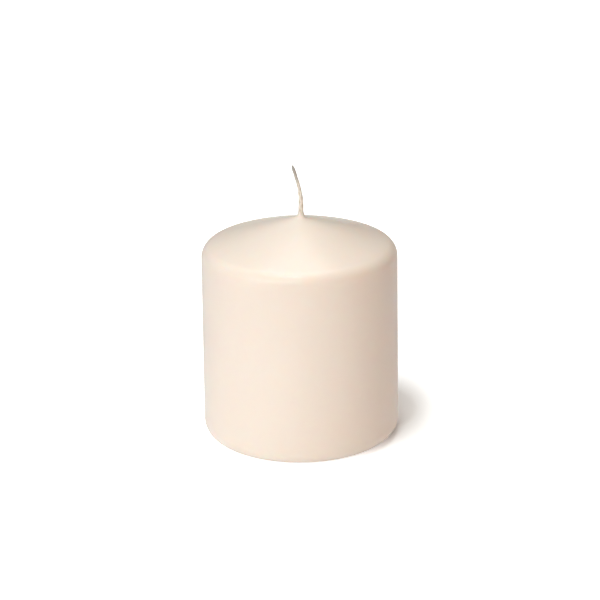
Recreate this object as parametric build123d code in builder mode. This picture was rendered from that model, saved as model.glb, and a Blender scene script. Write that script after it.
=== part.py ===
import os
from math import radians, tan

from build123d import *

# Flameless LED pillar candle, millimetres, +Z up.
# Origin: centre of the foot, on the surface that the candle stands on. -Y is the front.

os.makedirs("parts", exist_ok=True)

# Wax pillar
body_radius = 35.0
shoulder_radius = 34.65  # the side draws in a little towards the top
shoulder_height = 70.1  # sharp corner that the shoulder round replaces
pillar_height = 81.1
dome_bulge = 0.4  # how far the dome's line bows out of a straight cone
shoulder_round = 5.0
foot_round = 6.0
bore_radius = 28.0
bore_depth = 24.0
cavity_radius = 26.5
cavity_shoulder = 60.0
cavity_top = 69.5
cavity_round = 5.0

# Wick: a straight stub, set a little off the axis, that leans over to -X
wick_x = 0.75
wick_radius = 0.85
wick_hole_radius = 0.9
wick_seat = 73.0
wick_stub_top = 86.0
wick_lean_radius = 28.0
wick_lean_angle = 16.0
wick_end_length = 6.3

# Plastic base unit
base_z = 0.8  # the unit sits a little inside the wax foot
base_thickness = 2.0
base_top = base_z + base_thickness
housing_radius = 27.8
wall = 1.5
housing_top = 22.0
cover_thickness = 1.6
cover_top = housing_top + cover_thickness

# Two AAA cells, side by side along X, and their bay
cell_radius = 5.2
cell_body = 43.3
cell_length = 44.5
nub_radius = 1.9
cell_y = 5.5
cell_z = 8.5
bay_length = 47.5
bay_width = 22.0
bay_wall = 1.4
bay_ceiling = 14.2
bay_top = bay_ceiling + bay_wall
contact_thickness = 0.4
tab_width = 3.0
spring_gap = 2.2
contact_x = bay_length / 2 - contact_thickness
tab_top = 18.2

# Battery door and its hinge line, which lies along X
door_half_length = 23.4
door_free_edge = 11.2
door_gap = 0.3
hinge_y = -13.0
hinge_z = base_z + base_thickness / 2
hinge_half_length = 20.0
barrel_radius = base_thickness / 2
pin_radius = 0.5
pin_clearance = 0.05
pin_length = 1.6
door_near_edge = -11.25

# Latch: a U-shaped spring tongue on the door's free edge
latch_width = 8.0
latch_y = 12.3  # middle of the U
latch_z = 4.2
latch_inner = 0.5
latch_outer = 1.3
latch_root_gap = 0.05

# Slide switch, with its stem at the OFF end of the travel
switch_y = 18.5
switch_travel = 4.0
stem_x = -switch_travel / 2
board_z = 8.2
board_thickness = 1.2
board_top = board_z + board_thickness

# Screws: places and sizes
cover_screw_x, cover_screw_y = 16.4, 17.0
board_screw_x, board_screw_y = 9.8, 20.5
tower_screw_x = 6.8

# LED on its tower
tower_radius = 5.5
tower_bore = 4.3
tower_top = 51.2
led_radius = 2.5
led_leg_x = 1.27
led_leg_end = 38.0

lead_radius = 0.6

# Gaps and overlaps used throughout
fit_gap = 0.2  # between parts that are put together
overlap = 0.1  # how far one cut runs into the next


def both_sides(x, y):
    return [(x, y), (-x, y)]


def four_corners(x, y):
    return both_sides(x, y) + both_sides(x, -y)


def corner_near(x, z):
    """The vertex of the sketch being drawn that lies nearest to (x, z)."""
    return vertices().sort_by_distance((x, z))[0]


# One-piece wax shell, as one revolved section: domed top, rounded shoulder and foot, and a
# stepped hollow that is open from below. The section stops at a small centre hole, which the
# wick's blind hole then takes in.
centre_hole = 0.1
with BuildPart() as wax_shell:
    with BuildSketch(Plane.XZ):
        with BuildLine():
            SagittaArc((shoulder_radius, shoulder_height), (centre_hole, pillar_height), -dome_bulge)
            Polyline((centre_hole, pillar_height), (centre_hole, wick_seat), (0, wick_seat))
            Line((0, wick_seat), (0, cavity_top))
            SagittaArc((0, cavity_top), (cavity_radius, cavity_shoulder), dome_bulge)
            Polyline(
                (cavity_radius, cavity_shoulder),
                (cavity_radius, bore_depth),
                (bore_radius, bore_depth),
                (bore_radius, 0),
                (body_radius, 0),
                (shoulder_radius, shoulder_height),
            )
        make_face()
        fillet(corner_near(body_radius, 0), foot_round)
        fillet(corner_near(shoulder_radius, shoulder_height), shoulder_round)
        fillet(corner_near(cavity_radius, cavity_shoulder), cavity_round)
    revolve(axis=Axis.Z)
    with BuildSketch(Plane.XY.offset(wick_seat)):
        with Locations((wick_x, 0)):
            Circle(wick_hole_radius)
    extrude(amount=pillar_height - wick_seat + wick_hole_radius, mode=Mode.SUBTRACT)
wax_shell.part.label = "wax_shell"
export_step(wax_shell.part, "parts/wax_shell.step")

# Waxed cotton wick, set in the top and never lit
with BuildPart() as wick:
    with BuildLine(Plane.XZ):
        Line((wick_x, wick_seat), (wick_x, wick_stub_top))
        lean = JernArc((wick_x, wick_stub_top), (0, 1), wick_lean_radius, wick_lean_angle)
        PolarLine(lean @ 1, wick_end_length, 90 + wick_lean_angle)
    with BuildSketch(Plane.XY.offset(wick_seat)):
        with Locations((wick_x, 0)):
            Circle(wick_radius)
    sweep()
wick.part.label = "wick"
export_step(wick.part, "parts/wick.step")

# Round base housing with the battery bay, open at the top, door pocket in its floor
latch_reach = 14.2
with BuildPart() as base_housing:
    with BuildSketch(Plane.XY.offset(base_z)):
        Circle(housing_radius)
    extrude(amount=base_thickness)
    with BuildSketch(Plane.XY.offset(base_top)):
        Circle(housing_radius)
        Circle(housing_radius - wall, mode=Mode.SUBTRACT)
    extrude(amount=housing_top - base_top)
    with BuildSketch(Plane.XY.offset(base_top)):
        Rectangle(bay_length + 2 * bay_wall, bay_width + 2 * bay_wall)
        Circle(housing_radius - wall / 2, mode=Mode.INTERSECT)
    extrude(amount=bay_top - base_top)
    # Posts for the cover's and the circuit board's screws
    cover_post_radius, cover_post_hole, cover_hole_depth = 3.0, 1.25, 10.0
    with BuildSketch(Plane.XY.offset(base_top)):
        with Locations(four_corners(cover_screw_x, cover_screw_y)):
            Circle(cover_post_radius)
    extrude(amount=housing_top - base_top)
    with BuildSketch(Plane.XY.offset(housing_top)):
        with Locations(four_corners(cover_screw_x, cover_screw_y)):
            Circle(cover_post_hole)
    extrude(amount=-cover_hole_depth, mode=Mode.SUBTRACT)
    board_post_radius, board_post_hole, board_hole_depth = 2.0, 0.8, 4.6
    with BuildSketch(Plane.XY.offset(base_top)):
        with Locations(both_sides(board_screw_x, board_screw_y)):
            Circle(board_post_radius)
    extrude(amount=board_z - base_top)
    with BuildSketch(Plane.XY.offset(board_z)):
        with Locations(both_sides(board_screw_x, board_screw_y)):
            Circle(board_post_hole)
    extrude(amount=-board_hole_depth, mode=Mode.SUBTRACT)
    # Bay, with slots in its ceiling for the two solder tabs
    with BuildSketch(Plane.XY.offset(base_z)):
        Rectangle(bay_length, bay_width)
    extrude(amount=bay_ceiling - base_z, mode=Mode.SUBTRACT)
    with BuildSketch(Plane.XY.offset(bay_ceiling)):
        with Locations((contact_x, cell_y), (contact_x, -cell_y)):
            Rectangle(2 * (contact_thickness + fit_gap), tab_width + 3 * fit_gap)
    extrude(amount=bay_wall, mode=Mode.SUBTRACT)
    # Pocket for the door plate, its hinge barrel and the latch
    plate_pocket_y = (hinge_y + barrel_radius + overlap, door_free_edge + door_gap)
    with BuildSketch(Plane.XY.offset(base_z)):
        with Locations((0, sum(plate_pocket_y) / 2)):
            Rectangle(2 * (door_half_length + door_gap), plate_pocket_y[1] - plate_pocket_y[0])
    extrude(amount=base_thickness + overlap, mode=Mode.SUBTRACT)
    barrel_pocket_y = (hinge_y - barrel_radius - door_gap, plate_pocket_y[0])
    with BuildSketch(Plane.XY.offset(base_z)):
        with Locations((0, sum(barrel_pocket_y) / 2)):
            Rectangle(2 * (hinge_half_length + door_gap), barrel_pocket_y[1] - barrel_pocket_y[0])
    extrude(amount=base_thickness + door_gap, mode=Mode.SUBTRACT)
    latch_pocket_y = (bay_width / 2 - 2 * overlap, latch_reach)
    latch_side_gap, latch_top_gap = 0.4, 0.5
    with BuildSketch(Plane.XY.offset(base_z)):
        with Locations((0, sum(latch_pocket_y) / 2)):
            Rectangle(latch_width + 2 * latch_side_gap, latch_pocket_y[1] - latch_pocket_y[0])
    extrude(amount=latch_z + latch_outer + latch_top_gap - base_z, mode=Mode.SUBTRACT)
    # Room over the barrel where the bay wall stands above it
    with BuildSketch(Plane.YZ.offset(-hinge_half_length - door_gap)):
        with Locations((hinge_y, hinge_z)):
            Circle(barrel_radius + door_gap)
    extrude(amount=2 * (hinge_half_length + door_gap), mode=Mode.SUBTRACT)
    # Blind sockets for the door's hinge pins
    socket_length = hinge_half_length + pin_length + door_gap
    with BuildSketch(Plane.YZ.offset(-socket_length)):
        with Locations((hinge_y, hinge_z)):
            Circle(pin_radius + pin_clearance)
    extrude(amount=2 * socket_length, mode=Mode.SUBTRACT)
    # Slot for the switch knob
    knob_slot_length, knob_slot_width = 8.6, 3.2
    with BuildSketch(Plane.XY.offset(base_z)):
        with Locations((0, switch_y)):
            SlotOverall(knob_slot_length, knob_slot_width)
    extrude(amount=base_thickness, mode=Mode.SUBTRACT)
base_housing.part.label = "base_housing"
export_step(base_housing.part, "parts/base_housing.step")

# Cover over the housing, with a hole for the LED's leads
with BuildPart() as housing_cover:
    with BuildSketch(Plane.XY.offset(housing_top)):
        Circle(housing_radius - fit_gap)
    extrude(amount=cover_thickness)
    lip_outer, lip_thickness, lip_depth = housing_radius - wall - fit_gap, 1.2, 1.2
    with BuildSketch(Plane.XY.offset(housing_top)):
        Circle(lip_outer)
        Circle(lip_outer - lip_thickness, mode=Mode.SUBTRACT)
        with Locations(four_corners(cover_screw_x, cover_screw_y)):
            Circle(cover_post_radius + 2 * fit_gap, mode=Mode.SUBTRACT)
    extrude(amount=-lip_depth)
    tower_post_radius, tower_post_depth, tower_post_floor = 2.0, 3.0, 0.6
    with BuildSketch(Plane.XY.offset(housing_top)):
        with Locations(both_sides(tower_screw_x, 0)):
            Circle(tower_post_radius)
    extrude(amount=-tower_post_depth)
    lead_hole_radius, cover_screw_hole, tower_screw_hole = 3.6, 1.6, 0.85
    with BuildSketch(Plane.XY.offset(cover_top)):
        Circle(lead_hole_radius)
        with Locations(four_corners(cover_screw_x, cover_screw_y)):
            Circle(cover_screw_hole)
    extrude(amount=-cover_thickness, mode=Mode.SUBTRACT)
    with BuildSketch(Plane.XY.offset(cover_top)):
        with Locations(both_sides(tower_screw_x, 0)):
            Circle(tower_screw_hole)
    extrude(amount=-(cover_thickness + tower_post_depth - tower_post_floor), mode=Mode.SUBTRACT)
housing_cover.part.label = "housing_cover"
export_step(housing_cover.part, "parts/housing_cover.step")

# Tower that holds the LED near the top of the wax
flange_radius, flange_thickness, flange_screw_hole = 9.0, 1.2, 1.0
neck_radius, neck_length, end_wall = tower_radius - 0.3, 6.0, 1.2
led_hole_radius = led_radius + 0.1
with BuildPart() as led_tower:
    with BuildSketch(Plane.XY.offset(cover_top)):
        Circle(flange_radius)
        Circle(tower_bore, mode=Mode.SUBTRACT)
        with Locations(both_sides(tower_screw_x, 0)):
            Circle(flange_screw_hole, mode=Mode.SUBTRACT)
    extrude(amount=flange_thickness)
    tube_base = cover_top + flange_thickness
    with BuildSketch(Plane.XY.offset(tube_base)):
        Circle(neck_radius)
        Circle(tower_bore, mode=Mode.SUBTRACT)
    extrude(amount=neck_length)
    with BuildSketch(Plane.XY.offset(tube_base + neck_length)):
        Circle(tower_radius)
        Circle(tower_bore, mode=Mode.SUBTRACT)
    extrude(amount=tower_top - tube_base - neck_length)
    with BuildSketch(Plane.XY.offset(tower_top - end_wall)):
        Circle(tower_bore + fit_gap)
        Circle(led_hole_radius, mode=Mode.SUBTRACT)
    extrude(amount=end_wall)
    # Four gussets between the flange and the tube
    gusset_height, gusset_thickness = 5.0, 1.0
    gusset_inner, gusset_outer = tower_bore + 0.4, flange_radius - 0.6
    for gusset_angle in (45, 135, 225, 315):
        gusset_plane = Plane.XZ.rotated((0, 0, gusset_angle))
        with BuildSketch(gusset_plane):
            with BuildLine():
                Polyline(
                    (gusset_inner, tube_base - fit_gap),
                    (gusset_outer, tube_base - fit_gap),
                    (gusset_inner, tube_base + gusset_height),
                    close=True,
                )
            make_face()
        extrude(amount=gusset_thickness / 2, both=True)
led_tower.part.label = "led_tower"
export_step(led_tower.part, "parts/led_tower.step")

# 5 mm warm white LED and its two legs
rim_radius, rim_thickness = 2.9, 1.0
rim_base = tower_top - end_wall - rim_thickness
dome_base = tower_top + 3.0
with BuildPart() as led:
    with BuildSketch(Plane.XZ):
        with BuildLine():
            Polyline(
                (0, dome_base + led_radius),
                (0, rim_base),
                (rim_radius, rim_base),
                (rim_radius, rim_base + rim_thickness),
                (led_radius, rim_base + rim_thickness),
                (led_radius, dome_base),
            )
            RadiusArc((led_radius, dome_base), (0, dome_base + led_radius), -led_radius)
        make_face()
    revolve(axis=Axis.Z)
led.part.label = "led"
export_step(led.part, "parts/led.step")

leg_width = 0.5
with BuildPart() as led_legs:
    with BuildSketch(Plane.XY.offset(led_leg_end)):
        with Locations(both_sides(led_leg_x, 0)):
            Rectangle(leg_width, leg_width)
    extrude(amount=rim_base - led_leg_end)
led_legs.part.label = "led_legs"
export_step(led_legs.part, "parts/led_legs.step")

# Heat-shrink sleeves over the joints between legs and leads
sleeve_radius, sleeve_bore, sleeve_length, sleeve_below = 0.95, lead_radius + 0.02, 8.0, 3.0
with BuildPart() as lead_sleeves:
    with BuildSketch(Plane.XY.offset(led_leg_end - sleeve_below)):
        with Locations(both_sides(led_leg_x, 0)):
            Circle(sleeve_radius)
            Circle(sleeve_bore, mode=Mode.SUBTRACT)
    extrude(amount=sleeve_length)
lead_sleeves.part.label = "lead_sleeves"
export_step(lead_sleeves.part, "parts/lead_sleeves.step")

# Frosted cap that spreads the light, pushed over the tower
cap_inner, cap_wall, cap_foot, cap_spring = tower_radius + overlap, 1.1, 44.0, 55.6
cap_outer = cap_inner + cap_wall
with BuildPart() as diffuser_cap:
    with BuildSketch(Plane.XZ):
        with BuildLine():
            Line((cap_inner, cap_foot), (cap_outer, cap_foot))
            Line((cap_outer, cap_foot), (cap_outer, cap_spring))
            RadiusArc((cap_outer, cap_spring), (0, cap_spring + cap_outer), -cap_outer)
            Line((0, cap_spring + cap_outer), (0, cap_spring + cap_inner))
            RadiusArc((0, cap_spring + cap_inner), (cap_inner, cap_spring), cap_inner)
            Line((cap_inner, cap_spring), (cap_inner, cap_foot))
        make_face()
    revolve(axis=Axis.Z)
diffuser_cap.part.label = "diffuser_cap"
export_step(diffuser_cap.part, "parts/diffuser_cap.step")

# D-shaped circuit board behind the bay, over the slide switch
board_near, board_far, board_half_width, board_edge_gap = 13.4, 24.0, 12.0, 0.6
board_screw_hole, pin_hole_radius, pin_rod_radius = 1.1, 0.42, 0.3
pin_xs = (-3.0, -1.0, 1.0, 3.0)
with BuildPart() as circuit_board:
    with BuildSketch(Plane.XY.offset(board_z)):
        with Locations((0, (board_near + board_far) / 2)):
            Rectangle(2 * board_half_width, board_far - board_near)
        Circle(housing_radius - wall - board_edge_gap, mode=Mode.INTERSECT)
        with Locations(both_sides(board_screw_x, board_screw_y)):
            Circle(board_screw_hole, mode=Mode.SUBTRACT)
        with Locations([(x, switch_y) for x in pin_xs]):
            Circle(pin_hole_radius, mode=Mode.SUBTRACT)
    extrude(amount=board_thickness)
circuit_board.part.label = "circuit_board"
export_step(circuit_board.part, "parts/circuit_board.step")

# Eight-leg controller and timer chip
chip_x, chip_y, chip_width, chip_length, chip_height = -6.4, 16.3, 3.9, 4.9, 1.5
chip_stand, chip_taper = 0.15, 4
leg_pitch, leg_length, leg_breadth, leg_height, leg_spread = 1.27, 1.3, 0.42, 0.4, 0.8
with BuildPart() as controller_chip:
    with BuildSketch(Plane.XY.offset(board_top + chip_stand)):
        with Locations((chip_x, chip_y)):
            Rectangle(chip_width, chip_length)
    extrude(amount=chip_height, taper=chip_taper)
    with BuildSketch(Plane.XY.offset(board_top)):
        with Locations((chip_x, chip_y)):
            with GridLocations(chip_width + leg_spread, leg_pitch, 2, 4):
                Rectangle(leg_length, leg_breadth)
    extrude(amount=leg_height)
controller_chip.part.label = "controller_chip"
export_step(controller_chip.part, "parts/controller_chip.step")

# Watch crystal for the timer, a small can lying on the board
crystal_radius, crystal_length, crystal_round = 1.0, 6.0, 0.3
crystal_x, crystal_y = 2.4, 14.9
with BuildPart() as timer_crystal:
    with BuildSketch(Plane.YZ.offset(crystal_x)):
        with Locations((crystal_y, board_top + crystal_radius)):
            Circle(crystal_radius)
    extrude(amount=crystal_length)
    fillet(timer_crystal.edges().filter_by(GeomType.CIRCLE).sort_by(Axis.X)[-1], crystal_round)
timer_crystal.part.label = "timer_crystal"
export_step(timer_crystal.part, "parts/timer_crystal.step")

# Chip resistors in a row along the board's far edge
resistor_pitch, resistor_y = 3.6, 22.0
resistor_length, resistor_width, resistor_height = 2.0, 1.25, 0.5
with BuildPart() as chip_resistors:
    with BuildSketch(Plane.XY.offset(board_top)):
        with Locations((0, resistor_y)):
            with GridLocations(resistor_pitch, 0, 3, 1):
                Rectangle(resistor_length, resistor_width)
    extrude(amount=resistor_height)
chip_resistors.part.label = "chip_resistors"
export_step(chip_resistors.part, "parts/chip_resistors.step")

# Small electrolytic capacitor
capacitor_x, capacitor_y = 6.2, 18.0
capacitor_radius, capacitor_height, capacitor_round = 2.0, 5.4, 0.35
with BuildPart() as capacitor:
    with BuildSketch(Plane.XY.offset(board_top)):
        with Locations((capacitor_x, capacitor_y)):
            Circle(capacitor_radius)
    extrude(amount=capacitor_height)
    fillet(capacitor.edges().filter_by(GeomType.CIRCLE).sort_by(Axis.Z)[-1], capacitor_round)
capacitor.part.label = "capacitor"
export_step(capacitor.part, "parts/capacitor.step")

# Slide switch under the board: a hollow can with a slot, and four solder pins
can_length, can_width, can_height = 9.0, 3.8, 3.6
can_mouth_length, can_mouth_width, can_floor = 6.1, 2.1, 0.5
can_room_length, can_room_width, can_room_height = 7.2, 2.8, 1.9
pin_length_up = 2.0
with BuildPart() as switch_body:
    with BuildSketch(Plane.XY.offset(board_z - can_height)):
        with Locations((0, switch_y)):
            Rectangle(can_length, can_width)
    extrude(amount=can_height)
    with BuildSketch(Plane.XY.offset(board_z - can_height)):
        with Locations((0, switch_y)):
            Rectangle(can_mouth_length, can_mouth_width)
    extrude(amount=can_floor, mode=Mode.SUBTRACT)
    with BuildSketch(Plane.XY.offset(board_z - can_height + can_floor)):
        with Locations((0, switch_y)):
            Rectangle(can_room_length, can_room_width)
    extrude(amount=can_room_height, mode=Mode.SUBTRACT)
    with BuildSketch(Plane.XY.offset(board_z)):
        with Locations([(x, switch_y) for x in pin_xs]):
            Circle(pin_rod_radius)
    extrude(amount=pin_length_up)
switch_body.part.label = "switch_body"
export_step(switch_body.part, "parts/switch_body.step")

# The switch's own stem, wide inside the can and square where it hangs out
stem_foot_z, stem_foot_height = 5.3, 1.2
stem_foot_length, stem_foot_width = 2.4, 2.2
stem_side, stem_length = 1.5, 2.4
with BuildPart() as switch_stem:
    with BuildSketch(Plane.XY.offset(stem_foot_z)):
        with Locations((stem_x, switch_y)):
            Rectangle(stem_foot_length, stem_foot_width)
    extrude(amount=stem_foot_height)
    with BuildSketch(Plane.XY.offset(stem_foot_z - stem_length)):
        with Locations((stem_x, switch_y)):
            Rectangle(stem_side, stem_side)
    extrude(amount=stem_length)
switch_stem.part.label = "switch_stem"
export_step(switch_stem.part, "parts/switch_stem.step")

# Knob that a finger slides: a flange inside the housing and a ribbed pad in the slot
knob_bottom, flange_z, knob_top = 0.35, base_top + 0.15, 4.0
flange_length, flange_width = 10.0, 4.4
pad_length, pad_width, pad_round = 3.8, 2.6, 0.5
groove_pitch, groove_width, groove_depth = 0.9, 0.4, 0.3
stem_socket_side, stem_socket_z = 1.6, 2.8
with BuildPart() as switch_knob:
    with BuildSketch(Plane.XY.offset(flange_z)):
        with Locations((stem_x, switch_y)):
            Rectangle(flange_length, flange_width)
    extrude(amount=knob_top - flange_z)
    with BuildSketch(Plane.XY.offset(knob_bottom)):
        with Locations((stem_x, switch_y)):
            RectangleRounded(pad_length, pad_width, pad_round)
    extrude(amount=flange_z - knob_bottom)
    with BuildSketch(Plane.XY.offset(knob_bottom)):
        with Locations((stem_x, switch_y)):
            with GridLocations(groove_pitch, 0, 3, 1):
                Rectangle(groove_width, pad_width)
    extrude(amount=groove_depth, mode=Mode.SUBTRACT)
    with BuildSketch(Plane.XY.offset(stem_socket_z)):
        with Locations((stem_x, switch_y)):
            Rectangle(stem_socket_side, stem_socket_side)
    extrude(amount=knob_top, mode=Mode.SUBTRACT)
switch_knob.part.label = "switch_knob"
export_step(switch_knob.part, "parts/switch_knob.step")

# Battery door: plate, hinge barrel with moulded pins, inner leg of the latch, ribs for the cells
inner_leg_y = (latch_y - latch_outer + latch_y - latch_inner) / 2
inner_leg_thickness = latch_outer - latch_inner
plate_corner = 0.6
grip_y, grip_pitch, grip_count, grip_length, grip_width, grip_depth = 6.2, 1.4, 4, 9.0, 0.6, 0.3
with BuildPart() as battery_door:
    with BuildSketch(Plane.XY.offset(base_z)):
        with Locations((0, (door_near_edge + door_free_edge) / 2)):
            RectangleRounded(2 * door_half_length, door_free_edge - door_near_edge, plate_corner)
        with Locations((0, (hinge_y + door_near_edge) / 2)):
            Rectangle(2 * hinge_half_length, door_near_edge - hinge_y)
        with Locations((0, door_free_edge)):
            Rectangle(latch_width, 2 * (inner_leg_y + inner_leg_thickness / 2 - door_free_edge))
    extrude(amount=base_thickness)
    with BuildSketch(Plane.YZ.offset(-hinge_half_length)):
        with Locations((hinge_y, hinge_z)):
            Circle(barrel_radius)
    extrude(amount=2 * hinge_half_length)
    with BuildSketch(Plane.YZ.offset(-hinge_half_length - pin_length)):
        with Locations((hinge_y, hinge_z)):
            Circle(pin_radius)
    extrude(amount=2 * (hinge_half_length + pin_length))
    with BuildSketch(Plane.XY.offset(base_top)):
        with Locations((0, inner_leg_y)):
            Rectangle(latch_width, inner_leg_thickness)
    extrude(amount=latch_z - latch_root_gap - base_top)
    # Shallow grip grooves beside the latch, on the outside
    with BuildSketch(Plane.XY.offset(base_z)):
        with Locations((0, grip_y)):
            with GridLocations(0, grip_pitch, 1, grip_count):
                SlotOverall(grip_length, grip_width)
    extrude(amount=grip_depth, mode=Mode.SUBTRACT)
battery_door.part.label = "battery_door"
export_step(battery_door.part, "parts/battery_door.step")

# Latch: the U's bend and outer leg, with a nose that stands over the housing's edge
nose_reach, nose_z = 0.3, 3.0
with BuildPart() as door_latch:
    with BuildSketch(Plane.YZ.offset(-latch_width / 2)):
        with BuildLine():
            Line((latch_y - latch_outer, latch_z), (latch_y - latch_inner, latch_z))
            RadiusArc((latch_y - latch_inner, latch_z), (latch_y, latch_z + latch_inner), latch_inner)
            RadiusArc((latch_y, latch_z + latch_inner), (latch_y + latch_inner, latch_z), latch_inner)
            Polyline(
                (latch_y + latch_inner, latch_z),
                (latch_y + latch_inner, base_z),
                (latch_y + latch_outer, base_z),
                (latch_y + latch_outer, nose_z),
                (latch_y + latch_outer + nose_reach, nose_z),
                (latch_y + latch_outer, latch_z),
            )
            RadiusArc((latch_y + latch_outer, latch_z), (latch_y, latch_z + latch_outer), -latch_outer)
            RadiusArc((latch_y, latch_z + latch_outer), (latch_y - latch_outer, latch_z), -latch_outer)
        make_face()
    extrude(amount=latch_width)
door_latch.part.label = "door_latch"
export_step(door_latch.part, "parts/door_latch.step")


cell_round = 0.4


def make_cell(start_x, direction, y):
    """An AAA cell from its flat end at start_x, with its nub along direction times X."""
    with BuildPart() as cell:
        with BuildSketch(Plane.YZ.offset(start_x)):
            with Locations((y, cell_z)):
                Circle(cell_radius)
        extrude(amount=direction * cell_body)
        fillet(cell.edges().filter_by(GeomType.CIRCLE), cell_round)
        with BuildSketch(Plane.YZ.offset(start_x + direction * (cell_body - overlap))):
            with Locations((y, cell_z)):
                Circle(nub_radius)
        extrude(amount=direction * (cell_length - cell_body + overlap))
    return cell


# Two AAA cells in series, lying opposite ways
battery_1 = make_cell(-contact_x + spring_gap, 1, -cell_y)
battery_1.part.label = "battery_1"
export_step(battery_1.part, "parts/battery_1.step")
battery_2 = make_cell(contact_x - spring_gap, -1, cell_y)
battery_2.part.label = "battery_2"
export_step(battery_2.part, "parts/battery_2.step")

contact_low, contact_high, contact_width = 4.3, 12.9, 9.0


def make_contact(y):
    """A contact plate against the +X end of the bay, with a solder tab through the ceiling."""
    with BuildPart() as contact:
        with BuildSketch(Plane.YZ.offset(contact_x)):
            with Locations((y, (contact_low + contact_high) / 2)):
                Rectangle(contact_width, contact_high - contact_low)
            with Locations((y, (contact_low + tab_top) / 2)):
                Rectangle(tab_width, tab_top - contact_low)
        extrude(amount=contact_thickness)
    return contact


positive_contact = make_contact(-cell_y)
positive_contact.part.label = "positive_contact"
export_step(positive_contact.part, "parts/positive_contact.step")
negative_contact = make_contact(cell_y)
negative_contact.part.label = "negative_contact"
export_step(negative_contact.part, "parts/negative_contact.step")

# Plate that joins the two cells at the -X end
with BuildPart() as link_contact:
    with BuildSketch(Plane.YZ.offset(-contact_x - contact_thickness)):
        with Locations((0, (contact_low + contact_high) / 2)):
            Rectangle(2 * cell_y + contact_width, contact_high - contact_low)
    extrude(amount=contact_thickness)
link_contact.part.label = "link_contact"
export_step(link_contact.part, "parts/link_contact.step")

# Conical contact springs. One is drawn at the -X end, and the other is it turned about Z
spring_wire, spring_base_radius, spring_turns, spring_cone, spring_seat = 0.25, 3.6, 2.5, -45.0, 0.05
spring_height = spring_gap - 2 * (spring_wire + spring_seat)
with BuildPart() as link_spring:
    with BuildLine() as coil:
        Helix(
            pitch=spring_height / spring_turns,
            height=spring_height,
            radius=spring_base_radius,
            center=(-contact_x + spring_wire + spring_seat, -cell_y, cell_z),
            direction=(1, 0, 0),
            cone_angle=spring_cone,
        )
    with BuildSketch(Plane(origin=coil.wire() @ 0, z_dir=coil.wire() % 0)):
        Circle(spring_wire)
    sweep()
link_spring.part.label = "link_spring"
export_step(link_spring.part, "parts/link_spring.step")
negative_spring = link_spring.part.rotate(Axis.Z, 180)
negative_spring.label = "negative_spring"
export_step(negative_spring, "parts/negative_spring.step")


bend_share = 0.45  # part of the shorter run that a bend may take


def make_lead(name, points):
    """An insulated lead along straight runs joined by the largest tangent arcs that the runs allow."""
    route = [Vector(*p) for p in points]
    runs = [b - a for a, b in zip(route, route[1:])]
    bends = []
    for before, after in zip(runs, runs[1:]):
        half_turn = radians(before.get_angle(after)) / 2
        bends.append(bend_share * min(before.length, after.length) / tan(half_turn))
    print(name, "bend radii", [round(r, 1) for r in bends])
    with BuildPart() as lead:
        with BuildLine():
            FilletPolyline(*route, radius=bends)
        with BuildSketch(Plane(origin=route[0], z_dir=runs[0])):
            Circle(lead_radius)
        sweep()
    return lead


# Leads: two from the cells to the board, two from the board up to the LED
tab_z = 17.3
board_leads_red, board_leads_black = (9.6, 14.6), (10.9, 17.2)
battery_lead_red = make_lead(
    "battery_lead_red",
    [
        (contact_x - overlap, -cell_y, tab_z),
        (16.8, -5.0, tab_z),
        (9.8, 0.5, tab_z),
        (*board_leads_red, tab_z + 0.5),
        (*board_leads_red, board_top),
    ],
)
battery_lead_red.part.label = "battery_lead_red"
export_step(battery_lead_red.part, "parts/battery_lead_red.step")
battery_lead_black = make_lead(
    "battery_lead_black",
    [
        (contact_x - overlap, cell_y, tab_z),
        (18.0, 5.8, tab_z),
        (12.4, 9.6, tab_z),
        (*board_leads_black, tab_z + 0.5),
        (*board_leads_black, board_top),
    ],
)
battery_lead_black.part.label = "battery_lead_black"
export_step(battery_lead_black.part, "parts/battery_lead_black.step")

riser_z, riser_y = 18.5, 15.0


def make_riser(name, side):
    """A lead from the board over the bay and up through the tower to one LED leg."""
    leg_x = side * led_leg_x
    return make_lead(
        name,
        [
            (leg_x, riser_y, board_top),
            (leg_x, riser_y, riser_z - fit_gap),
            (leg_x, 0, riser_z),
            (leg_x, 0, led_leg_end),
        ],
    )


led_lead_red = make_riser("led_lead_red", -1)
led_lead_red.part.label = "led_lead_red"
export_step(led_lead_red.part, "parts/led_lead_red.step")
led_lead_black = make_riser("led_lead_black", 1)
led_lead_black.part.label = "led_lead_black"
export_step(led_lead_black.part, "parts/led_lead_black.step")


def make_screws(places, seat, head_radius, head_height, shank_radius, shank_length):
    """Pan-head screws, each a solid of its own, with cross slots."""
    slot_length, slot_width, slot_depth = 1.2 * head_radius, 0.3 * head_radius, 0.5 * head_height
    head_round = 0.45 * head_height
    with BuildPart() as screws:
        with BuildSketch(Plane.XY.offset(seat)):
            with Locations(places):
                Circle(head_radius)
        extrude(amount=head_height)
        fillet(screws.edges().filter_by(GeomType.CIRCLE).group_by(Axis.Z)[-1], head_round)
        with BuildSketch(Plane.XY.offset(seat)):
            with Locations(places):
                Circle(shank_radius)
        extrude(amount=-shank_length)
        with BuildSketch(Plane.XY.offset(seat + head_height)):
            with Locations(places):
                Rectangle(slot_length, slot_width)
                Rectangle(slot_width, slot_length)
        extrude(amount=-slot_depth, mode=Mode.SUBTRACT)
    return screws


cover_screws = make_screws(four_corners(cover_screw_x, cover_screw_y), cover_top, 2.1, 1.6, 1.2, 9.0)
cover_screws.part.label = "cover_screws"
export_step(cover_screws.part, "parts/cover_screws.step")
board_screws = make_screws(both_sides(board_screw_x, board_screw_y), board_top, 1.6, 1.2, 0.75, 5.0)
board_screws.part.label = "board_screws"
export_step(board_screws.part, "parts/board_screws.step")
tower_screws = make_screws(
    both_sides(tower_screw_x, 0), cover_top + flange_thickness, 1.2, 0.9, 0.8, 4.0
)
tower_screws.part.label = "tower_screws"
export_step(tower_screws.part, "parts/tower_screws.step")

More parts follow.
